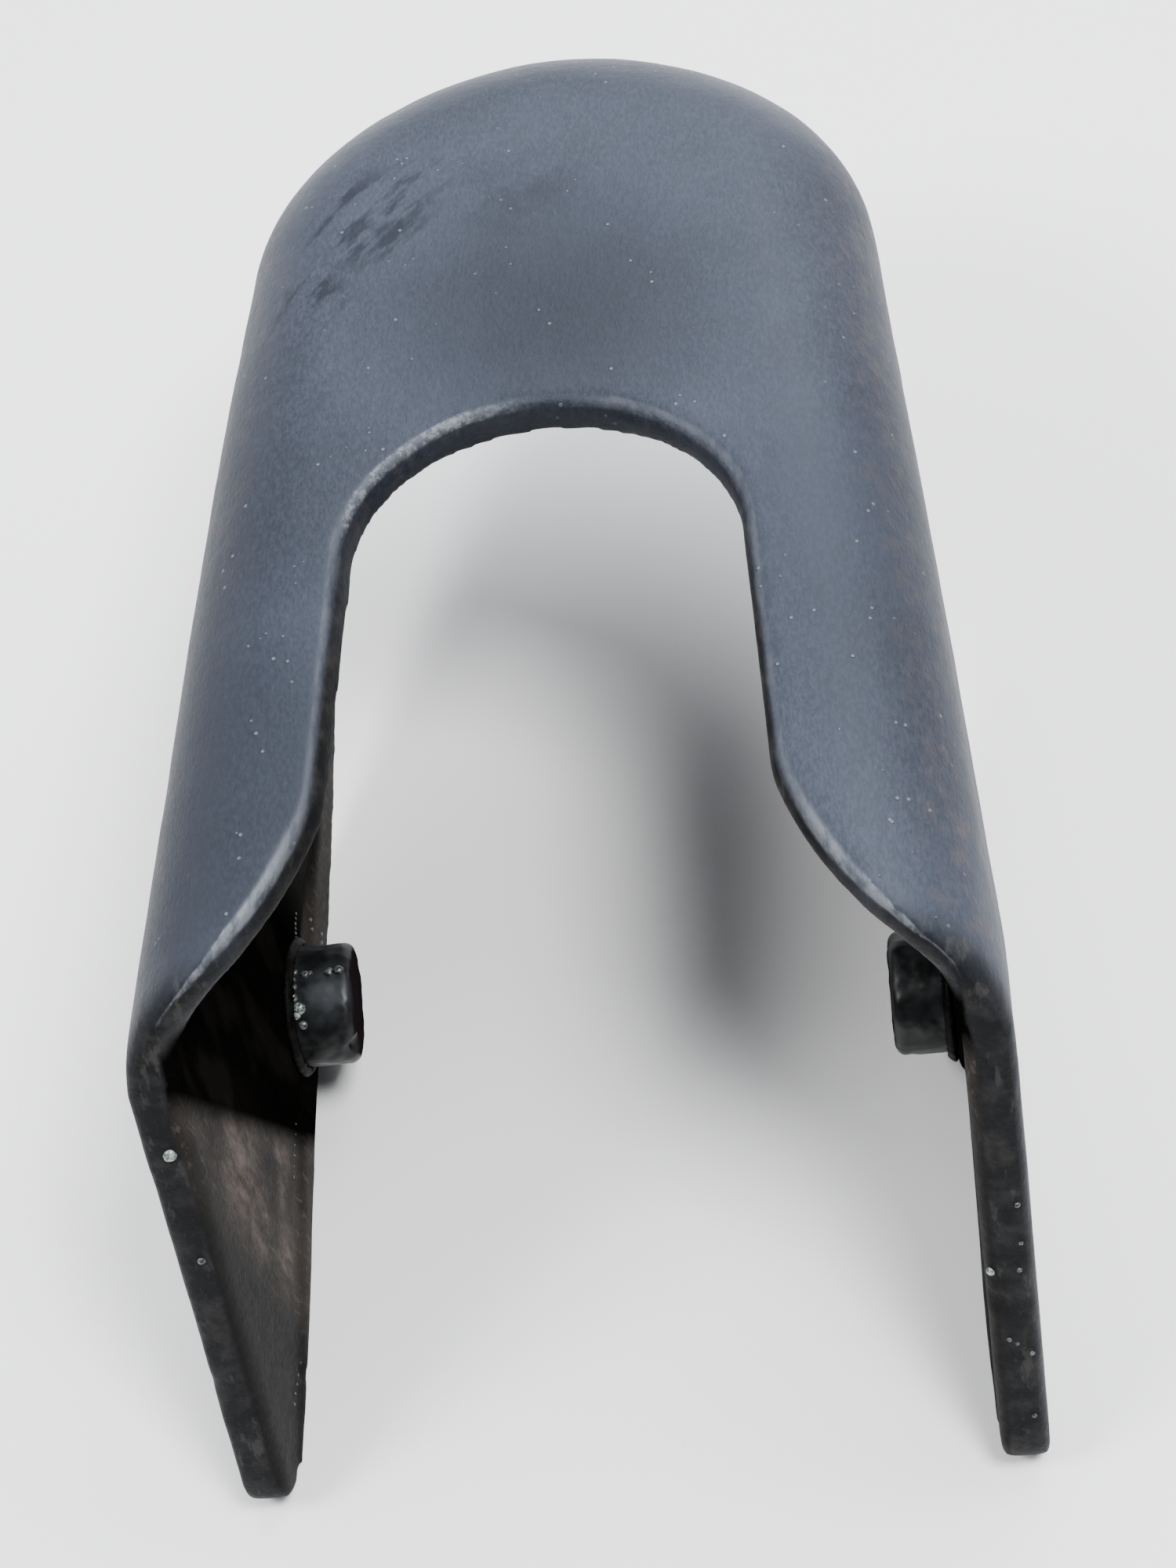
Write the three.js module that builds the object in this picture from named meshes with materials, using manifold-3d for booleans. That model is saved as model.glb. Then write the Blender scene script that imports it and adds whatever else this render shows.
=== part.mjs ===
// Wear cap for the adapter of an excavator bucket tooth: a U-shaped cast shell with two welded lugs.
// Millimetres. X across the cap, +Y towards the rounded nose, +Z up. Built with y = 0 at the leg ends
// and z = 0 at the cheeks' lower edges, then shifted so the origin is the centre of the base.
import * as THREE from 'three';
import { mergeVertices } from 'three/addons/utils/BufferGeometryUtils.js';
import Module from 'manifold-3d';

const wasm = await Module();
wasm.setup();

// cap casting
const HEIGHT = 120;               // lower edges of the cheeks to the flat top
const LEG_HALF_WIDTH = 75;        // half the width over the cheeks at the leg ends
const NOSE_HALF_WIDTH = 61.2;     // half the width where the nose curve starts
const SIDE_LENGTH = 165;          // leg ends to the start of the nose curve
const NOSE_LENGTH = 56;           // start of the nose curve to the nose
const DRAFT_START = 55;           // the lower edges run parallel up to here, then taper like the top
const NOSE_POWER = 1.93;          // 2 makes the nose an ellipse, less makes it more pointed
const EDGE_RADIUS = 24;           // rounding between the top and the sides
const WALL = 8.9;                 // thickness of cheeks and nose wall
const PLATE = 8.4;                // thickness of the top plate
const NOSE_DROP = 14;             // how far the top falls at the nose
const NOSE_DROP_START = 66;       // the top is flat up to here
const TAIL = -70;                 // cheeks are first made this far back, then cut to profile
const SKIRT_Z = -20;              // and this far down
const FULL_SPAN = 240;            // wider than the cap, for cuts right across it
const MARGIN = 20;                // how far a cut reaches past the cap
const ROUND_STEPS = 48;           // facets round lugs, welds and seat pads

// side profile of the cheeks
const RAKE_TOP_Y = 3.3;           // rear edge, extended to the top face
const RAKE_FOOT_Y = -52;          // rear edge, extended to the lower edge
const RAKE_TOP_RADIUS = 18;       // rounding from the top face into the rear edge
const RAKE_CUT_Y = 60;            // the rear cut lies in the top face from the rounding to here
const TIP_RADIUS = 8;             // rounding of the prong tip
const HEEL_Y = 68;                // where the lower edge turns up towards the nose
const HEEL_RADIUS = 40;
const NOSE_FOOT_Z = 64;           // lower edge height at the nose
const RIM = 1.1;                  // inward step along the inside of the lower edges
const RIM_REAR_Z = -2;            // top of the step at the prong tips
const RIM_FRONT_Z = 18;           // top of the step at the heel
const CEILING_STEP = 0.5;         // the hollow's ceiling stands this far above the rim cut's

// slot in the top plate
const SLOT_HALF_FRONT = 35.4;     // half width where the arch starts
const SLOT_HALF_REAR = 38.4;      // half width at the legs' inner corners
const ARCH_START = 85;
const ARCH_LENGTH = 30.6;
const CORNER_Y = 37;              // legs' inner corners
const SWEEP_END_X = 65.4;         // where the swept plate ends run out into the cheeks
const SWEEP_END_Y = 1;
const SWEEP_END_PULL = [-11, 6];  // curve handle at the sweep's end
const CORNER_PULL = [5, -18];     // curve handle at the corner
const SLOT_CUT_DEPTH = 40;        // the slot cut starts this far below the top
const SLOT_ROUND = 3.4;           // rounding of the slot's upper edge

// lugs and their welds
const LUG_RADIUS = 11.9;
const LUG_END_X = 52.2;           // distance of the lug's end face from the middle
const LUG_ROUND = 2;
const LUG_Z = 24;
const LEFT_LUG_Y = 46;
const RIGHT_LUG_Y = 39;
const PAD_X = 63.9;               // distance of the seat pads' faces from the middle
const PAD_RADIUS = 15;            // round seat pad cast on each cheek under the lug
const PAD_FLARE = 1;              // the pad is this much wider at its root
const WELD_LEG = 1.6;             // width of the weld ring on pad and lug
const WELD_CROWN = 0.55;          // how far out, as a share of the leg, the ring's face bulges
const GAP = 0.3;                  // clearance left between separate pieces

const STEEL = { color: 0x34373d, roughness: 0.5, metalness: 0.35 };
const LUG_STEEL = { color: 0x1c1d1f, roughness: 0.35, metalness: 0.4 };
const WELD_STEEL = { color: 0x2a2624, roughness: 0.6, metalness: 0.4 };

const topHalfWidth = (y) => {
  const along = Math.min(Math.max(y, 0), SIDE_LENGTH) / SIDE_LENGTH;
  return LEG_HALF_WIDTH + (NOSE_HALF_WIDTH - LEG_HALF_WIDTH) * along;
};

const footHalfWidth = (y) => topHalfWidth(Math.min(y, SIDE_LENGTH) - DRAFT_START);

const topDrop = (y) => {
  const span = SIDE_LENGTH + NOSE_LENGTH - NOSE_DROP_START;
  const along = Math.max(0, y - NOSE_DROP_START) / span;
  return NOSE_DROP * along * along;
};

// Plan outline from the right tail round the nose to the left tail, moved inward by inset.
// foot is 0 at the top level and 1 at the lower edge.
function outline(inset, foot) {
  const points = [];
  const halfWidth = (y) => topHalfWidth(y) * (1 - foot) + footHalfWidth(y) * foot;
  const sideSteps = 22;
  const noseSteps = 40;
  for (let i = 0; i < sideSteps; i++) {
    const y = TAIL + ((SIDE_LENGTH - TAIL) * i) / sideSteps;
    points.push([halfWidth(y) - inset, y]);
  }
  const noseHalf = halfWidth(SIDE_LENGTH) - inset;
  for (let i = 0; i <= noseSteps; i++) {
    const angle = (Math.PI * i) / noseSteps;
    const across = Math.sign(Math.cos(angle)) * Math.abs(Math.cos(angle)) ** (2 / NOSE_POWER);
    const ahead = Math.abs(Math.sin(angle)) ** (2 / NOSE_POWER);
    points.push([noseHalf * across, SIDE_LENGTH + (NOSE_LENGTH - inset) * ahead]);
  }
  for (let i = sideSteps - 1; i >= 0; i--) {
    const [x, y] = points[i];
    points.push([-x, y]);
  }
  return points;
}

// Closed solid through a stack of rings with equal point counts. The end rings are symmetric about
// x = 0, so each is closed with strips from a point to its mirror image.
function stackRings(rings) {
  const count = rings[0].length;
  const positions = rings.flat(2);
  const index = [];
  for (let r = 0; r + 1 < rings.length; r++) {
    for (let i = 0; i < count; i++) {
      const a = r * count + i;
      const b = r * count + ((i + 1) % count);
      index.push(a, b, b + count, a, b + count, a + count);
    }
  }
  const close = (base, up) => {
    for (let i = 0; i < count / 2 - 1; i++) {
      const quad = [base + i, base + i + 1, base + count - 2 - i, base + count - 1 - i];
      const [a, b, c, d] = quad;
      const tris = b === c ? [[a, b, d]] : [[a, b, c], [a, c, d]];
      for (const [p, q, s] of tris) index.push(...(up ? [p, q, s] : [p, s, q]));
    }
  };
  close(0, false);
  close((rings.length - 1) * count, true);
  const geometry = new THREE.BufferGeometry();
  geometry.setAttribute('position', new THREE.Float32BufferAttribute(positions, 3));
  geometry.setIndex(index);
  return geometry;
}

// Shell body: straight walls up to the edge rounding, then the rounding, then the flat top.
function shellBody(inset, top, radius) {
  const rings = [];
  const wallTop = top - radius;
  const addRing = (inward, z, foot) => {
    const follow = Math.min(1, Math.max(0, z / wallTop));
    rings.push(outline(inward, foot).map(([x, y]) => [x, y, z - topDrop(y) * follow]));
  };
  const wallSteps = 5;
  for (let i = 0; i < wallSteps; i++) {
    const z = SKIRT_Z + ((wallTop - SKIRT_Z) * i) / wallSteps;
    addRing(inset, z, Math.min(1, 1 - z / wallTop));
  }
  const roundSteps = 10;
  for (let i = 0; i <= roundSteps; i++) {
    const angle = (Math.PI / 2) * (i / roundSteps);
    addRing(inset + radius * (1 - Math.cos(angle)), wallTop + radius * Math.sin(angle), 0);
  }
  return stackRings(rings);
}

// Corner of a polyline replaced by an arc of the given radius.
function roundCorner(before, corner, after, radius, steps = 8) {
  const c = new THREE.Vector2(...corner);
  const u = new THREE.Vector2(...before).sub(c).normalize();
  const v = new THREE.Vector2(...after).sub(c).normalize();
  const half = Math.acos(u.dot(v)) / 2;
  const start = c.clone().addScaledVector(u, radius / Math.tan(half));
  const end = c.clone().addScaledVector(v, radius / Math.tan(half));
  const centre = c.clone().addScaledVector(u.clone().add(v).normalize(), radius / Math.sin(half));
  const a = start.sub(centre);
  const sweep = Math.PI - 2 * half;
  const turn = Math.sign(a.cross(end.sub(centre)));
  const arc = [];
  for (let i = 0; i <= steps; i++) {
    const angle = (turn * sweep * i) / steps;
    const p = a.clone().rotateAround(new THREE.Vector2(), angle).add(centre);
    arc.push([p.x, p.y]);
  }
  return arc;
}

// Closed outline in the side view, given as [y, z], extruded across the full width.
function acrossWidth(outlinePoints) {
  const shape = new THREE.Shape(outlinePoints.map(([y, z]) => new THREE.Vector2(y, z)));
  const solid = new THREE.ExtrudeGeometry(shape, { depth: FULL_SPAN, bevelEnabled: false });
  solid.translate(0, 0, -FULL_SPAN / 2);
  solid.rotateY(Math.PI / 2);
  solid.rotateX(Math.PI / 2);
  return solid;
}

// Side view of the cap: raked rear edges, prong tips, lower edge and the open top.
function sideProfile() {
  const tip = [RAKE_FOOT_Y, 0];
  const shoulder = [RAKE_TOP_Y, HEIGHT];
  const heel = [HEEL_Y, 0];
  const noseEnd = SIDE_LENGTH + NOSE_LENGTH;
  const slope = NOSE_FOOT_Z / (noseEnd - HEEL_Y);
  const front = [noseEnd + MARGIN, NOSE_FOOT_Z + slope * MARGIN];
  return acrossWidth([
    ...roundCorner(shoulder, tip, heel, TIP_RADIUS),
    ...roundCorner(tip, heel, front, HEEL_RADIUS),
    front,
    [front[0], HEIGHT + MARGIN],
    [RAKE_CUT_Y, HEIGHT + MARGIN],
    ...roundCorner([RAKE_CUT_Y, HEIGHT], shoulder, tip, RAKE_TOP_RADIUS, 10),
  ]);
}

// Side view of everything above the step on the inside of the lower edges.
function aboveRim() {
  const rise = (RIM_FRONT_Z - RIM_REAR_Z) / (HEEL_Y - RAKE_FOOT_Y);
  const front = SIDE_LENGTH + NOSE_LENGTH + MARGIN;
  const rear = TAIL - MARGIN;
  const lineZ = (y) => RIM_REAR_Z + rise * (y - RAKE_FOOT_Y);
  const floorSlope = NOSE_FOOT_Z / (SIDE_LENGTH + NOSE_LENGTH - HEEL_Y);
  return acrossWidth([
    [rear, lineZ(rear)],
    [HEEL_Y, RIM_FRONT_Z],
    [front, RIM_FRONT_Z + floorSlope * (front - HEEL_Y)],
    [front, HEIGHT + MARGIN],
    [rear, HEIGHT + MARGIN],
  ]);
}

// Plan outline of the slot and its flared mouth, from the right tail round the arch to the left tail.
function slotOutline(grow) {
  const right = [[SWEEP_END_X + grow, TAIL - MARGIN]];
  const sweep = new THREE.CubicBezierCurve(
    new THREE.Vector2(SWEEP_END_X, SWEEP_END_Y),
    new THREE.Vector2(SWEEP_END_X + SWEEP_END_PULL[0], SWEEP_END_Y + SWEEP_END_PULL[1]),
    new THREE.Vector2(SLOT_HALF_REAR + CORNER_PULL[0], CORNER_Y + CORNER_PULL[1]),
    new THREE.Vector2(SLOT_HALF_REAR, CORNER_Y),
  );
  const sweepSteps = 14;
  for (let i = 0; i <= sweepSteps; i++) {
    const p = sweep.getPoint(i / sweepSteps);
    const t = sweep.getTangent(i / sweepSteps);
    right.push([p.x + grow * t.y, p.y - grow * t.x]);
  }
  const sideSteps = 4;
  for (let i = 1; i < sideSteps; i++) {
    const along = i / sideSteps;
    const x = SLOT_HALF_REAR + (SLOT_HALF_FRONT - SLOT_HALF_REAR) * along;
    right.push([x + grow, CORNER_Y + (ARCH_START - CORNER_Y) * along]);
  }
  const archSteps = 18;
  for (let i = 0; i <= archSteps; i++) {
    const angle = (Math.PI / 2) * (i / archSteps);
    const x = (SLOT_HALF_FRONT + grow) * Math.cos(angle);
    right.push([i === archSteps ? 0 : x, ARCH_START + (ARCH_LENGTH + grow) * Math.sin(angle)]);
  }
  const left = right.slice(0, -1).reverse().map(([x, y]) => [-x, y]);
  return [...right, ...left];
}

// Slot cutter whose upper end flares to round the slot's edge.
function slotCutter() {
  const rings = [];
  const addRing = (grow, level) => {
    rings.push(slotOutline(grow).map(([x, y]) => [x, y, level - topDrop(y)]));
  };
  addRing(0, HEIGHT - SLOT_CUT_DEPTH);
  const steps = 5;
  for (let i = 0; i <= steps; i++) {
    const angle = (Math.PI / 2) * (i / steps);
    addRing(SLOT_ROUND * (1 - Math.cos(angle)), HEIGHT - SLOT_ROUND + SLOT_ROUND * Math.sin(angle));
  }
  addRing(SLOT_ROUND, HEIGHT + MARGIN);
  return stackRings(rings);
}

function toSolid(geometry) {
  const plain = geometry.clone();
  plain.deleteAttribute('normal');
  plain.deleteAttribute('uv');
  const merged = mergeVertices(plain, 1e-4);
  return new wasm.Manifold(new wasm.Mesh({
    numProp: 3,
    vertProperties: Float32Array.from(merged.attributes.position.array),
    triVerts: Uint32Array.from(merged.index.array),
  }));
}

function fromSolid(solid) {
  const mesh = solid.getMesh();
  const geometry = new THREE.BufferGeometry();
  geometry.setAttribute('position', new THREE.Float32BufferAttribute(mesh.vertProperties, 3));
  geometry.setIndex(new THREE.Uint32BufferAttribute(mesh.triVerts, 1));
  return geometry;
}

// Round seat pad for a lug, from inside the cheek to the pad's face.
function seatPad(side, y) {
  const depth = LEG_HALF_WIDTH - WALL / 2 - PAD_X;
  const pad = new THREE.CylinderGeometry(PAD_RADIUS, PAD_RADIUS + PAD_FLARE, depth, ROUND_STEPS);
  pad.rotateZ(side * Math.PI / 2);
  pad.translate(side * (PAD_X + depth / 2), y, LUG_Z);
  return toSolid(pad);
}

function capCasting() {
  const outer = toSolid(shellBody(0, HEIGHT, EDGE_RADIUS));
  const insideTop = HEIGHT - PLATE;
  const hollow = toSolid(shellBody(WALL, insideTop, EDGE_RADIUS - WALL));
  const rimHollow = toSolid(shellBody(WALL + RIM, insideTop - CEILING_STEP, EDGE_RADIUS - WALL));
  const cavity = hollow.intersect(toSolid(aboveRim())).add(rimHollow);
  const shell = outer.intersect(toSolid(sideProfile())).subtract(cavity);
  const padded = shell.add(seatPad(-1, LEFT_LUG_Y)).add(seatPad(1, RIGHT_LUG_Y));
  return fromSolid(padded.subtract(toSolid(slotCutter())));
}

// Round stub along X with a rounded free end, root at x = 0 and end at x = -length.
function lugBody(length) {
  const profile = [new THREE.Vector2(0, 0), new THREE.Vector2(LUG_RADIUS, 0)];
  const steps = 6;
  for (let i = 0; i <= steps; i++) {
    const angle = (Math.PI / 2) * (i / steps);
    const r = LUG_RADIUS - LUG_ROUND + LUG_ROUND * Math.cos(angle);
    profile.push(new THREE.Vector2(r, length - LUG_ROUND + LUG_ROUND * Math.sin(angle)));
  }
  profile.push(new THREE.Vector2(0, length));
  const body = new THREE.LatheGeometry(profile, ROUND_STEPS);
  body.rotateZ(Math.PI / 2);
  return body;
}

// Ring of weld metal round the lug's root, a gap clear of the lug and of the seat pad.
function lugWeld() {
  const inside = LUG_RADIUS + GAP;
  const profile = [
    new THREE.Vector2(inside, 0),
    new THREE.Vector2(inside + WELD_LEG, 0),
    new THREE.Vector2(inside + WELD_LEG * WELD_CROWN, WELD_LEG * (1 - WELD_CROWN)),
    new THREE.Vector2(inside, WELD_LEG),
    new THREE.Vector2(inside, 0),
  ];
  const ring = new THREE.LatheGeometry(profile, ROUND_STEPS);
  ring.rotateZ(Math.PI / 2);
  return ring;
}

function piece(name, geometry, look) {
  const mesh = new THREE.Mesh(geometry, new THREE.MeshStandardMaterial(look));
  mesh.name = name;
  return mesh;
}

// A lug with its weld, on the right cheek for side = 1 and the left cheek for side = -1.
function lugOnCheek(side, y, label) {
  const group = new THREE.Group();
  const root = PAD_X - GAP;
  const lug = piece(`${label}_lug`, lugBody(root - LUG_END_X), LUG_STEEL);
  const weld = piece(`${label}_lug_weld`, lugWeld(), WELD_STEEL);
  group.add(lug, weld);
  group.position.set(side * root, y, LUG_Z);
  if (side < 0) group.rotation.z = Math.PI;
  return group;
}

const part = new THREE.Group();
part.add(piece('cap_casting', capCasting(), STEEL));
part.add(lugOnCheek(-1, LEFT_LUG_Y, 'left'));
part.add(lugOnCheek(1, RIGHT_LUG_Y, 'right'));

// origin: centre of the base
const bounds = new THREE.Box3().setFromObject(part);
part.position.set(0, -(bounds.min.y + bounds.max.y) / 2, -bounds.min.z);

export default part;
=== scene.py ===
import math

import bmesh
import bpy
import numpy as np
from mathutils import Matrix, Vector, noise


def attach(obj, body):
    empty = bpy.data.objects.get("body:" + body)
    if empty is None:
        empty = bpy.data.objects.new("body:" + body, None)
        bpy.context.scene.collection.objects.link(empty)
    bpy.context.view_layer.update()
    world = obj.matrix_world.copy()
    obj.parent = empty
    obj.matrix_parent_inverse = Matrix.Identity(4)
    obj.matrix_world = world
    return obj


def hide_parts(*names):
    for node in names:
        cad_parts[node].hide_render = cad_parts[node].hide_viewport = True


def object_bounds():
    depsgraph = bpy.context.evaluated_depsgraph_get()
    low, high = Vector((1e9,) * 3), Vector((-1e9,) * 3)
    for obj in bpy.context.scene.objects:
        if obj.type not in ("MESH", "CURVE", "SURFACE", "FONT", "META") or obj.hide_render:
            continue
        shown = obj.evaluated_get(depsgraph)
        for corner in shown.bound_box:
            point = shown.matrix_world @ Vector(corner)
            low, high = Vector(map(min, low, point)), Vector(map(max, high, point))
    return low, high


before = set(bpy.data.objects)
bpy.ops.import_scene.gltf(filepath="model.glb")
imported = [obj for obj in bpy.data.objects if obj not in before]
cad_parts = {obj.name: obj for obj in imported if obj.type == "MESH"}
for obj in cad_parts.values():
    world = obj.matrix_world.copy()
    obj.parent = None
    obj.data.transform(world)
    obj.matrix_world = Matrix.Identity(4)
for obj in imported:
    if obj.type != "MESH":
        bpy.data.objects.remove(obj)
cad_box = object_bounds()

MM = 0.001

# camera: position in mm and its turn, in degrees
CAMERA_AT = (74.2, -316.0, 577.6)
CAMERA_YAW = -14.04
CAMERA_PITCH = 59.2
CAMERA_ROLL = -16.99
CAMERA_LENS = 73.45

# left lug and raked leg ends, in mm
LUG_Z = 24
LEFT_LUG_Y = -40.76
LUG_RADIUS = 11.9
RAKE_TOP = (0, -83.5, 120)
RAKE_OUT = (0, -0.908, 0.419)
RAKE_REACH = (RAKE_TOP[1] * RAKE_OUT[1] + RAKE_TOP[2] * RAKE_OUT[2]) * MM

# where leg ends are softened, in mm: from the rake plane, along -Y, in height, and at the tips
RAKE_BLEND = (-8, -3)
SWEEP_BLEND = (42, 58)
SWEEP_HEIGHT = (98, 106)
TIP_BLEND = (-16, -5)
TIP_SPARED = 0.6
SOFTEN_SHARE = 0.5

# slant of the left lug's end: slope, where it begins and over what length, direction in y and z
SLANT_SLOPE = 0.105
SLANT_START_X = -61
SLANT_LENGTH = 6
SLANT_Y = -0.445
SLANT_Z = 0.895
SLANT_GROWTH = 0.2

# uneven surfaces: height, width and shift of each layer, in mm
CASTING_WAVES = [(0.30, 38.0, (0, 0, 0)), (0.10, 9.0, (7, 3, 1)), (0.030, 2.2, (1, 9, 4))]
LUG_WAVES = [(0.28, 5.0, (0, 0, 0)), (0.10, 1.6, (5, 2, 8))]
WELD_WAVES = [(0.22, 3.5, (0, 0, 0)), (0.06, 1.2, (0, 0, 0))]
WELD_SWELL = 0.38

# chip at the left lug's end: centre, radius and depth, in mm
LUG_CHIP = (-52.5, LEFT_LUG_Y - 10.5, LUG_Z + 2.5)
LUG_CHIP_RADIUS = 3.0
LUG_CHIP_DEPTH = 1.4

# drops of spatter: unevenness, flatness and how far they stand out, as shares of the radius
DROP_WOBBLE = 0.16
DROP_FLATNESS = 0.72
DROP_LIFT = 0.12

# base colours of the casting, with the painted shade, painted shadow and painted highlight colours
# among them
PAINT_DEEP = (0.010, 0.013, 0.020)
PAINT_LIGHT = (0.018, 0.023, 0.034)
PAINT_GRAIN = (0.058, 0.064, 0.092)
PAINT_SMUDGE = (0.004, 0.005, 0.007)
PAINT_SIDE_PATCH = (0.060, 0.048, 0.045)
# painted shade colour for the darker places on the top and legs
PAINT_SHADE = (0.005, 0.006, 0.009)
# painted highlight colour for the rounded slot edges
PAINT_HIGHLIGHT = (0.115, 0.122, 0.135)
PAINT_SPECK = (0.15, 0.16, 0.18)
# painted shade colours for faces turned to the rear or into the slot and for the leg ends, with paler
# scratches
PAINTED_SHADE_DEEP = (0.0045, 0.0045, 0.0043)
PAINTED_SHADE_LIGHT = (0.020, 0.019, 0.018)
SCRATCH_IN_SHADE = (0.045, 0.043, 0.041)
# painted shadow colours for the inside of the cheeks under the plate ends
PAINTED_SHADOW_DEEP = (0.0010, 0.0010, 0.0009)
PAINTED_SHADOW_LIGHT = (0.0042, 0.0038, 0.0033)
SKIN_DEEP = (0.010, 0.0085, 0.0072)
SKIN_LIGHT = (0.030, 0.025, 0.021)
SKIN_WORN = (0.100, 0.078, 0.069)
SKIN_DASH = (0.070, 0.058, 0.052)
SKIN_STAIN = (0.008, 0.007, 0.006)
SKIN_END = (0.006, 0.006, 0.0055)
GLOSS_TINT = (0.82, 0.89, 1.0, 1.0)
GRAIN_SHARE = 0.44
SIDE_PATCH_SHARE = 0.5
SHADE_SHARE = 0.55

# marks, painted shade and painted highlights on the casting: centre and radius in mm, and the share
# of the radius that is full strength
SMUDGE_PLACES = [((-34, 80, 118), 17, 0.5), ((-24, 90, 117), 9, 0.5), ((-46, 60, 120), 13, 0.5)]
CLOUD_PLACE = ((-6, 84, 118), 17, 0.1)
SHADE_PLACES = [((0, 52, 120), 50, 0.1), ((-60, -48, 118), 62, 0.3)]
RIGHT_LEG_SHADE = ((62, -8, 118), 62, 0.2)
LEFT_LEG_SHADE = ((-62, 5, 118), 62, 0.2)
# painted highlight on the arch's rounded edge
ARCH_HIGHLIGHT = ((-24, 16, 116), 30, 0.4)
WORN_PLACES = [
    ((-65, -84, 56), 19, 0.2),
    ((-65, -91, 38), 12, 0.2),
    ((-65, -76, 26), 11, 0.2),
    ((-65, -91, 18), 10, 0.2),
]
STAIN_PLACE = ((-65, -81, 33), 10, 0.3)
# painted highlight on the left lug near its end
LUG_HIGHLIGHT = ((-55.5, -45.0, 35.5), 7.5, 0.1)
BRIGHT_DROPS = [
    ((-69.7, -98.8, 87.4), 4, 0.8),
    ((-62.0, -46.5, 34.4), 2.6, 0.7),
    ((66.3, -116.0, 50.3), 3, 0.7),
]

# room light: its bright side, its colour, its strengths, and how far the dim side reaches
WORLD_BRIGHT_SIDE = (0.12, 0.90, 0.42)
WORLD_COLOR = (0.93, 0.96, 1.0, 1)
WORLD_DIM = 0.10
WORLD_BRIGHT = 1.25
WORLD_TURN = 0.85
SKY_TINT = (0.92, 0.95, 1.0)
SIDE_TINT = (0.97, 0.97, 1.0)
FLOOR_GAP = 0.5 * MM

# toward the nose the painted shade and painted shadow fade between these two places along Y, in
# metres
ARCH_FADE = (-30 * MM, 20 * MM)
# the painted shadow's border on the inner cheek leans forward by this much per unit of height
PAINTED_SHADOW_LEAN = 0.345


# ---------- mesh work ----------

def evaluated_copy(source, name, voxel, smooth_rounds):
    """A new object with the CAD node's shape, remeshed evenly and with softened edges."""
    work = source.copy()
    work.data = source.data.copy()
    bpy.context.scene.collection.objects.link(work)
    work.parent = None
    remesh = work.modifiers.new("even", "REMESH")
    remesh.mode = "VOXEL"
    remesh.voxel_size = voxel * MM
    smooth = work.modifiers.new("soft", "SMOOTH")
    smooth.factor = 0.5
    smooth.iterations = smooth_rounds
    graph = bpy.context.evaluated_depsgraph_get()
    mesh = bpy.data.meshes.new_from_object(work.evaluated_get(graph))
    mesh.name = name
    bpy.data.objects.remove(work)
    for polygon in mesh.polygons:
        polygon.use_smooth = True
    mesh.materials.clear()
    piece = bpy.data.objects.new(name, mesh)
    bpy.context.scene.collection.objects.link(piece)
    return piece


def push_vertices(piece, depth):
    """Moves each vertex along its normal by depth(position in mm), in mm."""
    mesh = piece.data
    moved = []
    for vertex in mesh.vertices:
        moved.append(vertex.co + vertex.normal * depth(vertex.co / MM) * MM)
    for vertex, place in zip(mesh.vertices, moved):
        vertex.co = place
    mesh.update()


def soften(piece, weight, rounds):
    """Rounds the piece by moving vertices toward their neighbours, by weight(positions in mm)."""
    mesh = piece.data
    count = len(mesh.vertices)
    places = np.empty(count * 3)
    mesh.vertices.foreach_get("co", places)
    places = places.reshape(count, 3)
    ends = np.empty(len(mesh.edges) * 2, dtype=np.int64)
    mesh.edges.foreach_get("vertices", ends)
    first, second = ends.reshape(-1, 2).T
    neighbours = np.bincount(ends, minlength=count)
    share = SOFTEN_SHARE * weight(places / MM)[:, None]
    for _ in range(rounds):
        total = np.empty_like(places)
        for axis in range(3):
            total[:, axis] = np.bincount(first, places[second, axis], count)
            total[:, axis] += np.bincount(second, places[first, axis], count)
        places += share * (total / neighbours[:, None] - places)
    mesh.vertices.foreach_set("co", places.ravel())
    mesh.update()


def ramp(value, low, high):
    """0 at low, 1 at high, smooth between, for numpy arrays."""
    t = np.clip((value - low) / (high - low), 0, 1)
    return t * t * (3 - 2 * t)


def leg_end_weight(places):
    """1 on the raked ends of the legs and on the swept plate ends above them."""
    from_rake = (places - np.array(RAKE_TOP)) @ np.array(RAKE_OUT)
    raked = ramp(from_rake, *RAKE_BLEND)
    swept = ramp(-places[:, 1], *SWEEP_BLEND) * ramp(places[:, 2], *SWEEP_HEIGHT)
    tip = 1 - TIP_SPARED * ramp(-places[:, 2], *TIP_BLEND)
    return np.maximum(raked, swept) * tip


def near(place, centre, radius):
    """1 at centre, falling smoothly to 0 at radius."""
    gap = (place - Vector(centre)).length / radius
    return 0.0 if gap >= 1 else (1 - gap * gap) ** 2


# nicks and dents: centre, radius, depth, in mm
CASTING_NICKS = [
    ((66.0, -116.7, 48.8), 2.6, 1.3),
    ((66.6, -118.9, 44.0), 4.0, 1.1),
    ((-65.0, -108.1, 3.0), 3.2, 1.2),
    ((-74.6, -122.0, 36.0), 3.0, 0.5),
    ((40.0, 12.0, 119.0), 3.0, 0.3),
    ((74.0, -60.0, 100.0), 4.0, 0.3),
]


def waves(place, layers):
    """Sum of the noise layers at a place in mm."""
    total = 0.0
    for height, width, shift in layers:
        total += height * noise.noise(place / width + Vector(shift))
    return total


def casting_depth(place):
    nicks = sum(depth * near(place, centre, radius) for centre, radius, depth in CASTING_NICKS)
    return waves(place, CASTING_WAVES) - nicks


def lug_depth(place):
    chip = LUG_CHIP_DEPTH * near(place, LUG_CHIP, LUG_CHIP_RADIUS)
    return waves(place, LUG_WAVES) - chip


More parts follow.
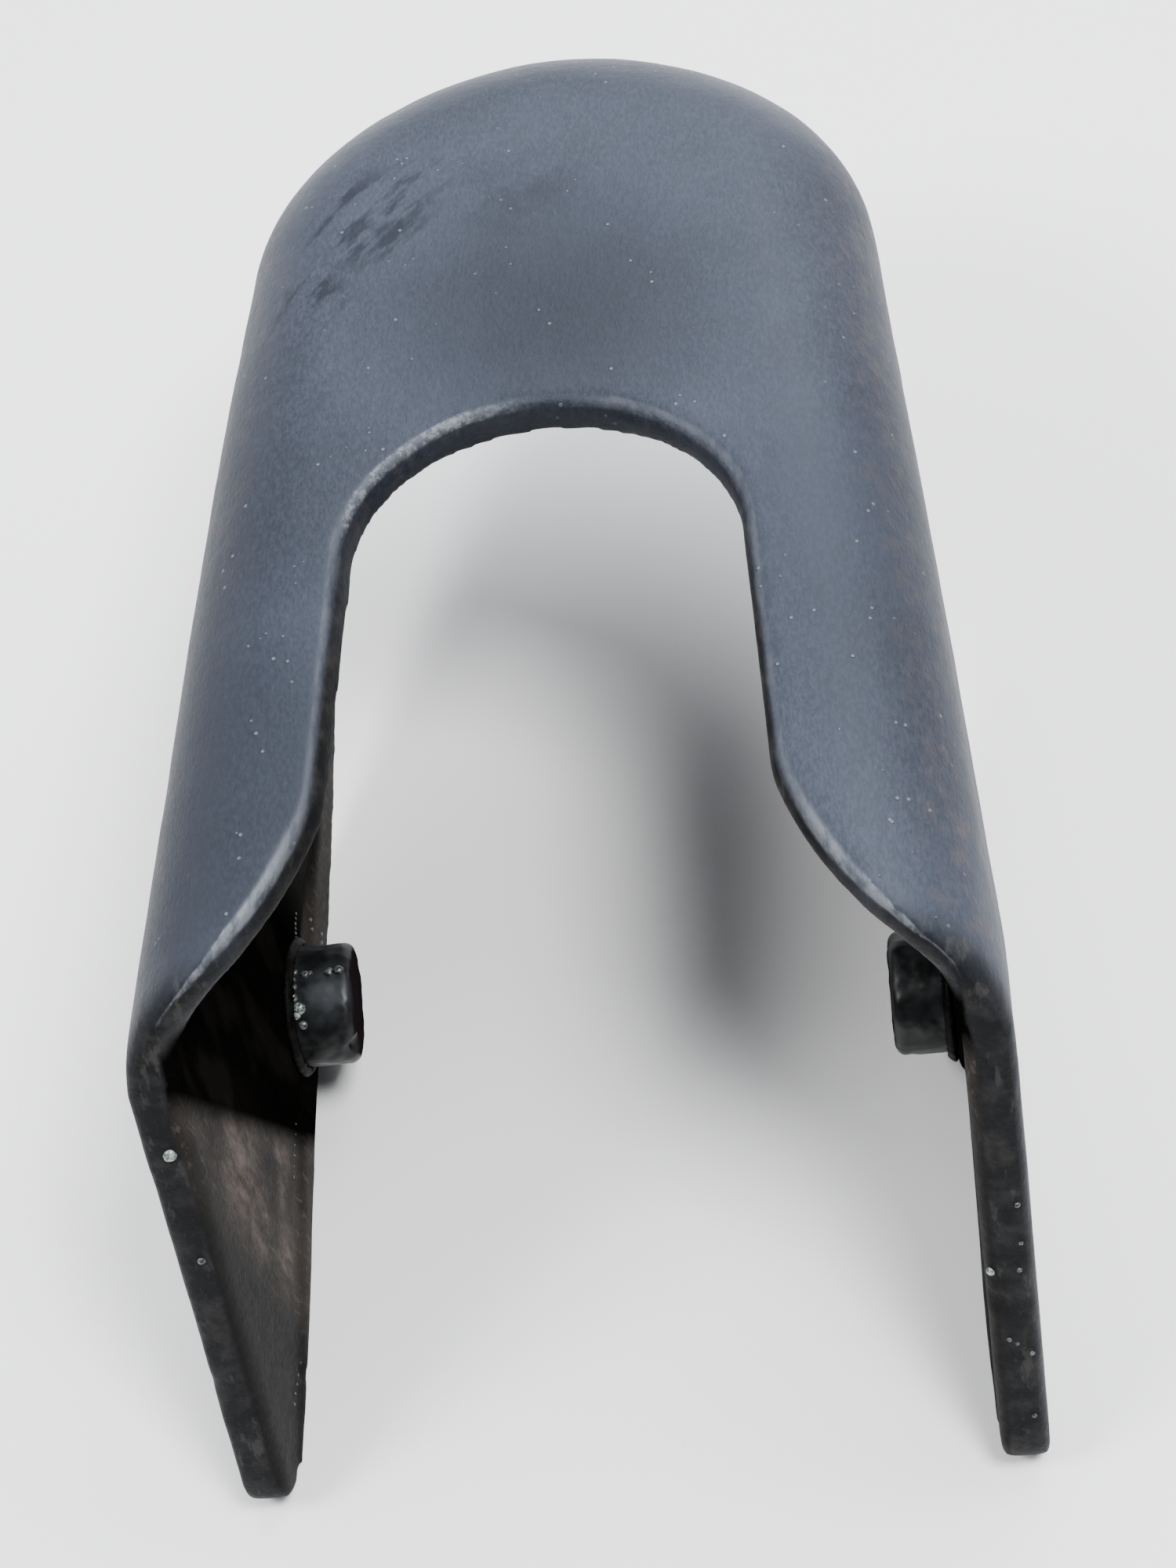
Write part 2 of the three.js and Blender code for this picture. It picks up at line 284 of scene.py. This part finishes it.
def slant_lug_end(piece):
    """Turns the left lug's end face a few degrees, as the photo shows it."""
    for vertex in piece.data.vertices:
        from_axis_y = vertex.co.y / MM - LEFT_LUG_Y
        from_axis_z = vertex.co.z / MM - LUG_Z
        share = min(1, max(0, (vertex.co.x / MM - SLANT_START_X) / SLANT_LENGTH))
        slant = SLANT_Z * from_axis_z + SLANT_Y * from_axis_y
        lean = SLANT_SLOPE * slant + SLANT_GROWTH
        vertex.co.x += share * lean * MM
    piece.data.update()


def weld_depth(place):
    return WELD_SWELL + waves(place, WELD_WAVES)


def build_casting():
    piece = evaluated_copy(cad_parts["cap_casting"], "cap_shell", voxel=1.15, smooth_rounds=6)
    soften(piece, leg_end_weight, rounds=14)
    push_vertices(piece, casting_depth)
    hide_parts("cap_casting")
    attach(piece, "root")
    return piece


def build_lug(side):
    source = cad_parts[f"{side}_lug"]
    piece = evaluated_copy(source, f"{side}_lug_stub", voxel=0.45, smooth_rounds=3)
    push_vertices(piece, lug_depth)
    if side == "left":
        slant_lug_end(piece)
    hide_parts(f"{side}_lug")
    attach(piece, "root")
    return piece


def build_weld(side):
    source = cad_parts[f"{side}_lug_weld"]
    piece = evaluated_copy(source, f"{side}_weld_bead", voxel=0.35, smooth_rounds=8)
    push_vertices(piece, weld_depth)
    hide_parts(f"{side}_lug_weld")
    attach(piece, "root")
    return piece


# ---------- spatter ----------

# beads of spatter on the raked leg ends: place, radius, in mm
SPATTER = [
    ((-69.7, -98.8, 87.4), 1.20),
    ((-69.6, -109.3, 64.7), 0.75),
    ((72.9, -109.3, 64.8), 0.55),
    ((73.0, -113.1, 56.7), 0.42),
    ((72.2, -115.7, 51.0), 0.48),
    ((69.3, -122.7, 35.9), 0.45),
    ((70.7, -123.2, 34.9), 0.38),
    ((73.4, -124.4, 32.4), 0.45),
    ((72.6, -130.9, 18.2), 0.45),
    ((66.3, -116.0, 50.3), 0.80),
]

# beads on and round the left lug: distance from the middle, angle round the lug in degrees, radius
LUG_SPATTER = [
    (53.4, 83, 1.0),
    (55.3, 85, 0.9),
    (60.0, 86, 0.85),
    (59.0, 85, 0.6),
    (62.1, 82, 0.7),
    (62.3, 90, 0.6),
    (62.2, 98, 0.7),
    (62.4, 107, 0.95),
    (61.2, 118, 1.25),
    (62.1, 123, 1.1),
    (60.8, 134, 0.9),
]

# rows of fine drops along the lower edge inside the left cheek: start, end, count, radius
EDGE_ROWS = [
    ((-64.0, -22.8, 29.2), (-64.0, -31.0, 28.2), 9, 0.34),
    ((-63.8, -18.8, 18.6), (-63.8, -20.4, 17.6), 2, 0.42),
    ((-63.5, -17.8, 10.2), (-63.5, -19.2, 9.2), 2, 0.42),
    ((-65.2, -62.0, 15.6), (-65.4, -73.0, 15.2), 6, 0.24),
    ((-65.0, -107.0, 3.9), (-65.0, -116.0, 7.2), 5, 0.34),
]


def bead_mesh(builder, place, outward, radius, seed):
    """Adds one flattened, slightly uneven drop to a bmesh."""
    out = Vector(outward).normalized()
    turn = out.to_track_quat("Z", "Y").to_matrix().to_4x4()
    made = bmesh.ops.create_icosphere(builder, subdivisions=3, radius=radius * MM)
    for vertex in made["verts"]:
        unevenness = noise.noise(vertex.co / MM * 1.1 + Vector((seed, seed * 2, 0)))
        vertex.co *= 1 + DROP_WOBBLE * unevenness
        vertex.co.z *= DROP_FLATNESS
    centre = Vector(place) * MM + out * radius * MM * DROP_LIFT
    bmesh.ops.transform(builder, matrix=Matrix.Translation(centre) @ turn, verts=made["verts"])


def drops_piece(name, drops, ground):
    """One piece with all the given drops, each set on the nearest surface of the ground piece."""
    builder = bmesh.new()
    for seed, (place, radius) in enumerate(drops):
        _, on_surface, outward, _ = ground.closest_point_on_mesh(Vector(place) * MM)
        bead_mesh(builder, on_surface / MM, outward, radius, seed)
    mesh = bpy.data.meshes.new(name)
    builder.to_mesh(mesh)
    builder.free()
    for polygon in mesh.polygons:
        polygon.use_smooth = True
    piece = bpy.data.objects.new(name, mesh)
    bpy.context.scene.collection.objects.link(piece)
    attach(piece, "root")
    return piece


def edge_row_drops():
    drops = []
    for start, end, count, radius in EDGE_ROWS:
        for index in range(count):
            along = index / (count - 1)
            place = Vector(start).lerp(Vector(end), along)
            drops.append((place, radius * (1 + 0.5 * noise.noise(place / 1.7))))
    return drops


def lug_drops():
    drops = []
    for along, angle, radius in LUG_SPATTER:
        turn = math.radians(angle)
        out = Vector((0, math.cos(turn), math.sin(turn)))
        drops.append((Vector((-along, LEFT_LUG_Y, LUG_Z)) + out * LUG_RADIUS, radius))
    return drops


# ---------- materials ----------

def grey(value):
    return (value, value, value)


class Nodes:
    """Short helpers for building one material's node tree."""

    def __init__(self, name):
        self.material = bpy.data.materials.new(name)
        self.material.use_nodes = True
        self.tree = self.material.node_tree
        self.shader = self.tree.nodes["Principled BSDF"]
        coords = self.tree.nodes.new("ShaderNodeTexCoord")
        self.place = coords.outputs["Object"]

    def link(self, a, b):
        self.tree.links.new(a, b)

    def put(self, socket, value):
        if isinstance(value, bpy.types.NodeSocket):
            self.link(value, socket)
        else:
            socket.default_value = value

    def math(self, kind, a, b=0.0):
        node = self.tree.nodes.new("ShaderNodeMath")
        node.operation = kind
        self.put(node.inputs[0], a)
        self.put(node.inputs[1], b)
        return node.outputs[0]

    def times(self, a, b):
        return self.math("MULTIPLY", a, b)

    def most(self, first, *others):
        """The largest of the given masks."""
        for other in others:
            first = self.math("MAXIMUM", first, other)
        return first

    def noise(self, scale, detail=3.0, rough=0.5, stretch=(1, 1, 1), shift=(0, 0, 0), turn=0):
        mapping = self.tree.nodes.new("ShaderNodeMapping")
        mapping.vector_type = "TEXTURE" if turn else "POINT"
        if turn:
            mapping.inputs["Rotation"].default_value = (0, 0, math.radians(turn))
            stretch = tuple(1 / share for share in stretch)
        mapping.inputs["Scale"].default_value = stretch
        mapping.inputs["Location"].default_value = shift
        self.link(self.place, mapping.inputs["Vector"])
        node = self.tree.nodes.new("ShaderNodeTexNoise")
        node.inputs["Scale"].default_value = scale
        node.inputs["Detail"].default_value = detail
        node.inputs["Roughness"].default_value = rough
        self.link(mapping.outputs[0], node.inputs["Vector"])
        return node.outputs["Fac"]

    def cells(self, scale):
        node = self.tree.nodes.new("ShaderNodeTexVoronoi")
        node.inputs["Scale"].default_value = scale
        self.link(self.place, node.inputs["Vector"])
        return node.outputs["Distance"]

    def step(self, value, low, high, start=0.0, end=1.0):
        """Goes smoothly from start to end while value goes from low to high."""
        node = self.tree.nodes.new("ShaderNodeMapRange")
        node.interpolation_type = "SMOOTHSTEP"
        node.inputs["From Min"].default_value = low
        node.inputs["From Max"].default_value = high
        node.inputs["To Min"].default_value = start
        node.inputs["To Max"].default_value = end
        self.put(node.inputs["Value"], value)
        return node.outputs[0]

    def axis(self, index, source=None):
        node = self.tree.nodes.new("ShaderNodeSeparateXYZ")
        self.link(source or self.place, node.inputs[0])
        return node.outputs[index]

    def normal(self, index):
        node = self.tree.nodes.new("ShaderNodeNewGeometry")
        return self.axis(index, node.outputs["Normal"])

    def mix(self, factor, a, b):
        node = self.tree.nodes.new("ShaderNodeMix")
        node.data_type = "RGBA"
        self.put(node.inputs[0], factor)
        for socket, value in ((node.inputs[6], a), (node.inputs[7], b)):
            if isinstance(value, tuple):
                value = (*value, 1.0)
            self.put(socket, value)
        return node.outputs[2]

    def blob(self, centre, radius, edge=0.5):
        """1 inside a soft ball round a place in mm, 0 outside."""
        node = self.tree.nodes.new("ShaderNodeVectorMath")
        node.operation = "DISTANCE"
        self.link(self.place, node.inputs[0])
        node.inputs[1].default_value = tuple(c * MM for c in centre)
        return self.step(node.outputs["Value"], radius * edge * MM, radius * MM, 1.0, 0.0)

    def blobs(self, places):
        """The largest of several blobs, each given as centre, radius and edge."""
        return self.most(*(self.blob(*place) for place in places))

    def bump(self, height, strength, distance, after=None):
        node = self.tree.nodes.new("ShaderNodeBump")
        node.inputs["Strength"].default_value = strength
        node.inputs["Distance"].default_value = distance * MM
        self.put(node.inputs["Height"], height)
        if after is not None:
            self.link(after, node.inputs["Normal"])
        return node.outputs[0]

    def finish(self, color, roughness, normal):
        self.put(self.shader.inputs["Base Color"], color)
        self.put(self.shader.inputs["Roughness"], roughness)
        self.link(normal, self.shader.inputs["Normal"])
        return self.material


def painted_top(n, fine, smudge, outer, shade):
    """Blue-grey paint with fine grain, smudges, paler brown patches on the outward-facing sides and
    painted shade in darker places.
    """
    broad = n.noise(22, 4, 0.55)
    paint = n.mix(n.step(broad, 0.3, 0.7), PAINT_DEEP, PAINT_LIGHT)
    paint = n.mix(n.step(fine, 0.32, 0.80, 0.0, GRAIN_SHARE), paint, PAINT_GRAIN)
    paint = n.mix(n.times(smudge, 0.6), paint, PAINT_SMUDGE)
    # paler brown patches on the outward-facing sides
    side_patch = n.step(n.noise(300, 4, 0.6), 0.45, 0.70, 0.0, SIDE_PATCH_SHARE)
    paint = n.mix(n.times(side_patch, outer), paint, PAINT_SIDE_PATCH)
    return n.mix(n.times(shade, SHADE_SHARE), paint, PAINT_SHADE)


def nose_smudges(n):
    """Soft dark strokes on the left of the nose and a faint cloud in its middle."""
    strokes = n.step(n.noise(230, 3, 0.6, stretch=(1, 0.28, 1), turn=-40), 0.47, 0.62)
    smudge = n.times(strokes, n.blobs(SMUDGE_PLACES))
    cloud = n.times(n.blob(*CLOUD_PLACE), n.step(n.noise(70, 3, 0.6), 0.40, 0.62))
    return n.most(smudge, n.times(cloud, 0.5))


def shaded_places(n):
    """Painted shade: darker middle of the top and darker legs, the left one most."""
    full = n.blobs(SHADE_PLACES)
    right_leg = n.times(n.blob(*RIGHT_LEG_SHADE), 0.5)
    left_leg = n.times(n.blob(*LEFT_LEG_SHADE), 0.65)
    return n.most(full, right_leg, left_leg)


def shade_and_dull_places(n, inward):
    """Painted shade, near-black and dull (low gloss), on faces turned to the rear or into the slot
    and on the leg ends.
    """
    rearward = n.step(n.normal(1), -0.50, -0.80)
    slot_side = n.step(inward, -0.50, -0.85)
    shade_and_dull = n.most(rearward, slot_side)
    shade_and_dull = n.times(shade_and_dull, n.step(n.axis(1), ARCH_FADE[0], ARCH_FADE[1], 1.0, 0.38))
    along_y = n.times(n.axis(1), RAKE_OUT[1])
    along_z = n.times(n.axis(2), RAKE_OUT[2])
    from_rake = n.math("ADD", along_y, along_z)
    # painted shade over the raked leg ends
    leg_end = n.step(from_rake, RAKE_REACH - 9 * MM, RAKE_REACH - 1 * MM, 0.0, 0.9)
    return n.most(shade_and_dull, leg_end)


def painted_shade_color(n):
    """Near-black painted shade with paler scratches."""
    shade_base = n.mix(n.step(n.noise(160, 5, 0.7), 0.40, 0.72), PAINTED_SHADE_DEEP, PAINTED_SHADE_LIGHT)
    scratches = n.noise(380, 4, 0.7, stretch=(1.0, 0.3, 0.3), shift=(0, 0, 0.3))
    return n.mix(n.times(n.step(scratches, 0.56, 0.66), 0.5), shade_base, SCRATCH_IN_SHADE)


def painted_highlight_edges(n, inward):
    """Painted highlight where the slot's upper edge rounds over: smooth on the swept plate ends,
    gritty on the arch.
    """
    tilt = n.normal(2)
    turn_over = n.times(n.step(tilt, 0.985, 0.92), n.step(tilt, 0.42, 0.62))
    turn_over = n.times(turn_over, n.step(n.axis(2), 100 * MM, 106 * MM))
    strengthen = n.step(n.axis(1), -46 * MM, -72 * MM, 0.25, 1.0)
    swept = n.times(strengthen, n.step(n.axis(1), -92 * MM, -80 * MM))
    swept = n.times(swept, n.step(inward, -0.04, -0.16))
    grain = n.step(n.noise(420, 3, 0.7, stretch=(1, 0.25, 1)), 0.35, 0.60, 0.35, 1.0)
    swept = n.times(swept, n.times(grain, 0.9))
    grit = n.step(n.noise(650, 4, 0.75), 0.44, 0.60, 0.30, 1.0)
    arch = n.times(n.blob(*ARCH_HIGHLIGHT), n.step(n.normal(1), -0.04, -0.20))
    return n.times(turn_over, n.most(swept, n.times(arch, grit)))


def painted_shadow_place(n):
    """Painted shadow on the inside of the cheeks, cast there by the plate ends."""
    lean = n.times(n.axis(2), PAINTED_SHADOW_LEAN)
    painted_shadow = n.step(n.math("ADD", n.axis(1), lean), -63.5 * MM, -57.5 * MM)
    # the lit band along the lower edge in front of the lug stays mostly out of the painted shadow
    low = n.step(n.axis(2), 26 * MM, 18 * MM)
    edge_band = n.times(low, n.step(n.axis(1), -34 * MM, -26 * MM))
    painted_shadow = n.times(painted_shadow, n.step(edge_band, 0.0, 1.0, 1.0, 0.35))
    return n.times(painted_shadow, n.step(n.axis(1), ARCH_FADE[0], ARCH_FADE[1], 1.0, 0.55))


def painted_shadow_color(n):
    """Almost black painted shadow, with broad faint stripes of painted light inside it."""
    stripes = n.noise(60, 2, 0.5, stretch=(1, 1.6, 0.5), shift=(0, 0.4, 0))
    return n.mix(n.step(stripes, 0.50, 0.66), PAINTED_SHADOW_DEEP, PAINTED_SHADOW_LIGHT)


def cheek_color(n):
    """Brown skin of the cheek's inside with pinkish worn places and dark stains."""
    streaks = n.noise(90, 5, 0.7, stretch=(1, 0.55, 0.30), shift=(0.3, 0.1, 0.2))
    brown = n.mix(n.step(streaks, 0.30, 0.70), SKIN_DEEP, SKIN_LIGHT)
    patchy = n.step(n.noise(160, 5, 0.7, stretch=(1, 1, 0.35)), 0.36, 0.60)
    worn = n.times(n.blobs(WORN_PLACES), patchy)
    grime = n.step(n.noise(520, 4, 0.7, stretch=(1, 1, 0.4)), 0.36, 0.64, 0.35, 1.0)
    brown = n.mix(n.times(worn, grime), brown, SKIN_WORN)
    dashes = n.step(n.noise(800, 3, 0.7, stretch=(1, 1, 0.18)), 0.56, 0.64)
    brown = n.mix(n.times(dashes, 0.45), brown, SKIN_DASH)
    stain = n.times(n.blob(*STAIN_PLACE), n.step(streaks, 0.35, 0.6, 0.4, 1.0))
    brown = n.mix(stain, brown, SKIN_STAIN)
    return n.mix(n.step(n.axis(1), -95 * MM, -106 * MM, 0.0, 0.9), brown, SKIN_END)


def pale_specks(n, hidden):
    """Tiny pale dots in loose groups, on the paint only."""
    dots = n.step(n.cells(330), 0.16, 0.09)
    groups = n.step(n.noise(110, 1, 0.5, shift=(0.7, 0.2, 0.4)), 0.53, 0.57)
    return n.times(n.times(dots, groups), n.step(hidden, 0.2, 0.6, 1.0, 0.0))


def casting_material():
    n = Nodes("cast_paint")
    fine = n.noise(1400, 3, 0.7, stretch=(1, 0.5, 1))
    inward = n.times(n.math("SIGN", n.axis(0)), n.normal(0))
    outer = n.step(n.math("ABSOLUTE", n.normal(0)), 0.35, 0.90)
    smudge = nose_smudges(n)
    shade = shaded_places(n)
    painted_highlight = painted_highlight_edges(n, inward)
    shade_and_dull = n.times(shade_and_dull_places(n, inward), n.step(painted_highlight, 0.0, 1.0, 1.0, 0.15))
    bare_zone = n.times(n.step(inward, -0.22, -0.50), n.step(n.axis(2), 109 * MM, 105 * MM))
    painted_shadow = painted_shadow_place(n)
    speck = pale_specks(n, n.most(shade_and_dull, bare_zone))

    paint = painted_top(n, fine, smudge, outer, shade)
    # painted highlight on the rounded slot edges
    paint = n.mix(n.times(painted_highlight, 0.8), paint, PAINT_HIGHLIGHT)
    # painted shade on rear-facing and slot-facing faces and on the leg ends
    color = n.mix(n.times(shade_and_dull, 0.95), paint, painted_shade_color(n))
    # painted shadow on the inside of the cheeks, under the plate ends
    brown = n.mix(n.times(painted_shadow, 0.97), cheek_color(n), painted_shadow_color(n))
    color = n.mix(bare_zone, color, brown)
    color = n.mix(n.times(speck, 0.5), color, PAINT_SPECK)

    nose = n.step(n.normal(1), 0.20, 0.75)
    gloss = n.mix(shade, grey(0.33), grey(0.23))
    gloss = n.mix(nose, gloss, grey(0.60))
    gloss = n.mix(n.times(smudge, 0.6), gloss, grey(0.06))
    gloss = n.mix(painted_highlight, gloss, grey(0.60))
    gloss = n.mix(shade_and_dull, gloss, grey(0.08))
    gloss = n.mix(n.times(outer, 0.8), gloss, grey(0.08))
    gloss = n.mix(bare_zone, gloss, n.mix(painted_shadow, grey(0.05), grey(0.0)))
    n.link(gloss, n.shader.inputs["Specular IOR Level"])
    n.shader.inputs["Specular Tint"].default_value = GLOSS_TINT

    roughness = n.step(fine, 0.2, 0.8, 0.44, 0.60)
    roughness = n.math("ADD", roughness, n.times(shade_and_dull, 0.10))
    normal = n.bump(fine, 0.75, 0.19)
    normal = n.bump(n.noise(210, 3, 0.6), 0.45, 0.40, normal)
    normal = n.bump(speck, 0.8, 0.35, normal)
    return n.finish(color, roughness, normal)


def lug_material():
    n = Nodes("lug_paint")
    mottled = n.noise(260, 4, 0.6)
    color = n.mix(n.step(mottled, 0.35, 0.7), (0.0035, 0.0037, 0.004), (0.009, 0.010, 0.011))
    end_face = n.step(n.math("ABSOLUTE", n.normal(0)), 0.70, 0.95)
    color = n.mix(n.times(end_face, 0.8), color, (0.0110, 0.0075, 0.0090))
    # painted highlight near the left lug's end
    painted_highlight = n.times(n.blob(*LUG_HIGHLIGHT), n.step(mottled, 0.3, 0.6, 0.5, 1.0))
    color = n.mix(n.times(painted_highlight, 0.8), color, (0.030, 0.034, 0.039))
    roughness = n.step(mottled, 0.3, 0.7, 0.34, 0.50)
    normal = n.bump(mottled, 0.25, 0.3)
    normal = n.bump(n.noise(900, 3, 0.6), 0.2, 0.12, normal)
    gloss = n.mix(end_face, grey(0.26), grey(0.0))
    n.link(gloss, n.shader.inputs["Specular IOR Level"])
    return n.finish(color, roughness, normal)


def weld_material():
    n = Nodes("weld_paint")
    mottled = n.noise(420, 4, 0.6)
    # near-black like the lugs, and darker still as painted shade, where the weld sits in the cheek's
    # shadow
    color = n.mix(n.step(mottled, 0.35, 0.7), (0.0015, 0.0015, 0.0014), (0.0060, 0.0056, 0.0050))
    roughness = n.step(mottled, 0.3, 0.7, 0.42, 0.60)
    normal = n.bump(mottled, 0.4, 0.3)
    n.shader.inputs["Specular IOR Level"].default_value = 0.04
    return n.finish(color, roughness, normal)


def spatter_material():
    n = Nodes("spatter")
    mottled = n.noise(1100, 3, 0.6)
    dim = n.mix(n.step(mottled, 0.35, 0.65), (0.012, 0.013, 0.014), (0.095, 0.105, 0.105))
    vivid = n.mix(n.step(mottled, 0.35, 0.65), (0.050, 0.060, 0.056), (0.34, 0.41, 0.37))
    color = n.mix(n.blobs(BRIGHT_DROPS), dim, vivid)
    roughness = n.step(mottled, 0.3, 0.7, 0.18, 0.4)
    normal = n.bump(mottled, 0.4, 0.15)
    n.shader.inputs["Metallic"].default_value = 0.35
    return n.finish(color, roughness, normal)


def floor_material():
    n = Nodes("studio_floor")
    soft = n.noise(6, 2, 0.5)
    color = n.mix(soft, grey(0.86), grey(0.90))
    normal = n.bump(n.noise(90, 2, 0.5), 0.02, 0.2)
    return n.finish(color, 0.9, normal)


# ---------- studio ----------

def build_floor():
    builder = bmesh.new()
    bmesh.ops.create_grid(builder, x_segments=24, y_segments=24, size=3.0)
    mesh = bpy.data.meshes.new("studio_floor")
    builder.to_mesh(mesh)
    builder.free()
    floor = bpy.data.objects.new("studio_floor", mesh)
    floor.location.z = cad_box[0][2] - FLOOR_GAP
    bpy.context.scene.collection.objects.link(floor)
    mesh.materials.append(floor_material())


def build_camera():
    yaw, pitch, roll = (math.radians(a) for a in (CAMERA_YAW, CAMERA_PITCH, CAMERA_ROLL))
    ahead = Vector((
        math.sin(yaw) * math.cos(pitch),
        math.cos(yaw) * math.cos(pitch),
        -math.sin(pitch),
    ))
    level = Vector((math.cos(yaw), -math.sin(yaw), 0))
    above = level.cross(ahead)
    right = math.cos(roll) * level + math.sin(roll) * above
    up = math.cos(roll) * above - math.sin(roll) * level
    turn = Matrix((right, up, -ahead)).transposed().to_4x4()
    data = bpy.data.cameras.new("camera")
    data.sensor_fit = "AUTO"
    data.sensor_width = 36
    data.lens = CAMERA_LENS
    camera = bpy.data.objects.new("camera", data)
    camera.matrix_world = Matrix.Translation(Vector(CAMERA_AT) * MM) @ turn
    bpy.context.scene.collection.objects.link(camera)
    bpy.context.scene.camera = camera


def area_light(name, place, target, size, power, tint=(1, 1, 1)):
    data = bpy.data.lights.new(name, "AREA")
    data.shape = "RECTANGLE"
    data.size, data.size_y = size
    data.energy = power
    data.color = tint
    light = bpy.data.objects.new(name, data)
    light.location = place
    aim = Vector(target) - Vector(place)
    light.rotation_euler = aim.to_track_quat("-Z", "Y").to_euler()
    bpy.context.scene.collection.objects.link(light)


def build_world():
    """Soft grey room, bright beyond the nose and dim behind the camera."""
    world = bpy.data.worlds.new("studio")
    bpy.context.scene.world = world
    world.use_nodes = True
    tree = world.node_tree
    background = tree.nodes["Background"]
    coords = tree.nodes.new("ShaderNodeTexCoord")
    toward = tree.nodes.new("ShaderNodeVectorMath")
    toward.operation = "DOT_PRODUCT"
    toward.inputs[1].default_value = WORLD_BRIGHT_SIDE
    ramp_node = tree.nodes.new("ShaderNodeMapRange")
    ramp_node.interpolation_type = "SMOOTHSTEP"
    ramp_node.inputs["From Min"].default_value = 0.0
    ramp_node.inputs["From Max"].default_value = WORLD_TURN
    ramp_node.inputs["To Min"].default_value = WORLD_DIM
    ramp_node.inputs["To Max"].default_value = WORLD_BRIGHT
    tree.links.new(coords.outputs["Generated"], toward.inputs[0])
    tree.links.new(toward.outputs["Value"], ramp_node.inputs["Value"])
    tree.links.new(ramp_node.outputs[0], background.inputs["Strength"])
    background.inputs["Color"].default_value = WORLD_COLOR


def build_lights():
    middle = (0, 0, 0.08)
    area_light("sky_softbox", (0.35, 1.1, 1.35), middle, (1.6, 1.1), 38, SKY_TINT)
    area_light("side_right", (1.50, 0.45, 1.00), middle, (1.2, 0.8), 14, SIDE_TINT)
    area_light("side_left", (-1.50, 0.60, 0.90), middle, (1.2, 0.8), 9, SIDE_TINT)
    area_light("overhead_right", (0.50, -0.22, 1.42), middle, (0.40, 0.40), 32)
    area_light("overhead_left", (-0.75, -0.20, 1.10), middle, (0.40, 0.40), 16)


# ---------- assembly ----------

def dress(piece, material):
    piece.data.materials.clear()
    piece.data.materials.append(material)


build_camera()
build_floor()
build_world()
build_lights()

cap = build_casting()
dress(cap, casting_material())
lug_paint = lug_material()
weld_paint = weld_material()
lugs = {}
for side in ("left", "right"):
    lugs[side] = build_lug(side)
    dress(lugs[side], lug_paint)
    dress(build_weld(side), weld_paint)

spatter = spatter_material()
dress(drops_piece("edge_spatter", SPATTER, cap), spatter)
dress(drops_piece("lug_spatter", lug_drops(), lugs["left"]), spatter)
dress(drops_piece("cheek_spatter", edge_row_drops(), cap), spatter)
